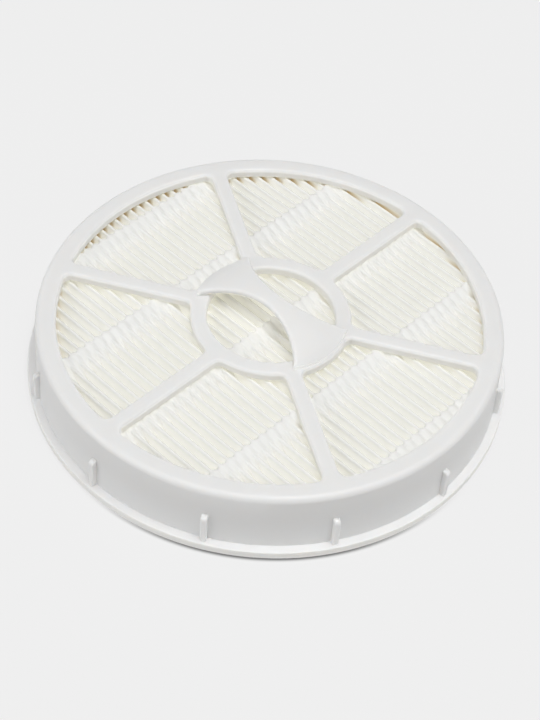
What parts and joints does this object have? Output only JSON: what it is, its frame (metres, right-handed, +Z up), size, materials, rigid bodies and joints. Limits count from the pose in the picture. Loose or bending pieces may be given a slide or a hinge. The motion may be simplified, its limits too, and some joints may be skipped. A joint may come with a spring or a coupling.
{
  "type": "vacuum hepa filter",
  "caption": "Round pleated filter cartridge in a white moulded frame with a spoked grille, an arched grip handle, a straight wall and a flange with upright fins.",
  "frame": {"origin": "centre of the flange's foot, on the plane that the filter stands on", "axes": "+Z up along the filter's axis, +X along two opposite spokes, +Y along the pleats and the grip handle"},
  "size_m": [0.153, 0.153, 0.03],
  "materials": {
    "white_plastic": "satin",
    "filter_medium": "matt",
    "potting": "matt",
    "glue": "waxy"
  },
  "bodies": {
    "root": {"filter_frame": "white_plastic", "pleat_pack": "filter_medium", "edge_sealant": "potting", "upper_bead_1": "glue", "upper_bead_2": "glue", "upper_bead_3": "glue", "upper_bead_4": "glue", "upper_bead_5": "glue", "lower_bead_1": "glue", "lower_bead_2": "glue", "lower_bead_3": "glue", "lower_bead_4": "glue", "lower_bead_5": "glue"}
  },
  "joints": []
}
